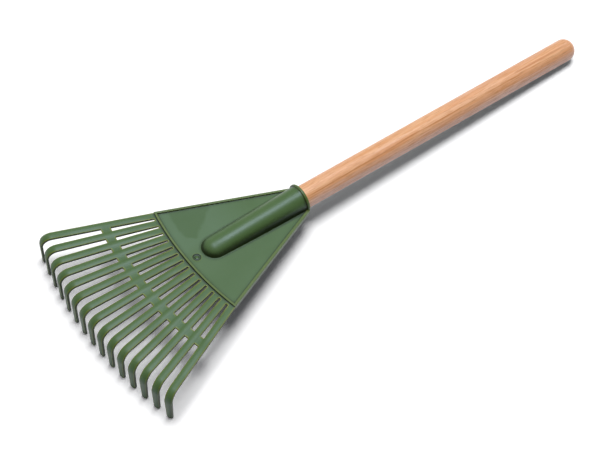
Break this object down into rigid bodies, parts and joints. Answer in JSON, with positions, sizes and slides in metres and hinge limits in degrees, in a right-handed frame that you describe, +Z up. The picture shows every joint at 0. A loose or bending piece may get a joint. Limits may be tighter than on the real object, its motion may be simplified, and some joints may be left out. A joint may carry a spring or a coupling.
{
  "type": "sand rake",
  "caption": "Child's sand rake: a moulded plastic fan of bent tines tied by an arched band, with a round socket on a plain wooden handle.",
  "frame": {"origin": "on the ground, under the middle of the rake's length, on its centre line", "axes": "+X along the rake from the tine tips to the handle's free end, +Y towards the first tine, +Z up"},
  "size_m": [0.6006, 0.2242, 0.0469],
  "materials": {
    "head_plastic": "dark green moulded plastic with a soft gloss",
    "handle_wood": "smooth turned softwood with a thin clear coat",
    "screw_steel": "zinc plated"
  },
  "bodies": {
    "root": {"head_plate": "head_plastic", "socket": "head_plastic", "cross_band": "head_plastic", "tine_01": "head_plastic", "tine_02": "head_plastic", "tine_03": "head_plastic", "tine_04": "head_plastic", "tine_05": "head_plastic", "tine_06": "head_plastic", "tine_07": "head_plastic", "tine_08": "head_plastic", "tine_09": "head_plastic", "tine_10": "head_plastic", "tine_11": "head_plastic", "tine_12": "head_plastic", "tine_13": "head_plastic", "tine_14": "head_plastic", "tine_15": "head_plastic", "handle": "handle_wood", "fixing_screw": "screw_steel"}
  },
  "joints": []
}
